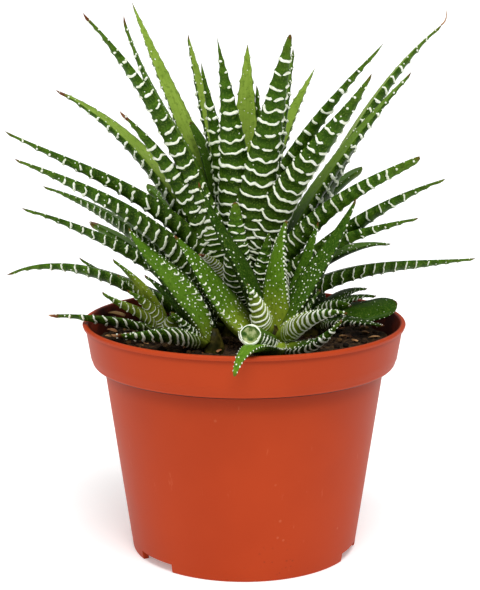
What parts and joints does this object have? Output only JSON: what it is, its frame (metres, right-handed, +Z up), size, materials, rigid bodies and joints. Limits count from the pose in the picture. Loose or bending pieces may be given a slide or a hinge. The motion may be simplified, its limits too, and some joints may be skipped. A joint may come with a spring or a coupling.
{
  "type": "potted haworthia",
  "caption": "Succulent plant with rosettes of pointed, white-banded leaves growing from peat in a round plastic nursery pot with a tall collar and low feet.",
  "frame": {"origin": "under the centre of the plant and pot, on the plane that the pot's feet stand on", "axes": "+Z up, -Y towards the viewer of the picture, +X to the viewer's right"},
  "size_m": [0.1776, 0.1382, 0.2028],
  "materials": {
    "pot_plastic": "matte moulded terracotta-coloured plastic, lightly scuffed",
    "peat": "dark crumbly peat with a few tan chips",
    "leaf_dark": "waxy dark green leaf with raised white bands and dots",
    "leaf_bright": "waxy bright green leaf with white bands and dots"
  },
  "bodies": {
    "root": {"pot": "pot_plastic", "soil": "peat", "rosette_main": "leaf_dark", "rosette_front_right": "leaf_bright", "rosette_front_left": "leaf_bright", "rosette_left": "leaf_bright", "rosette_right": "leaf_bright"}
  },
  "joints": []
}
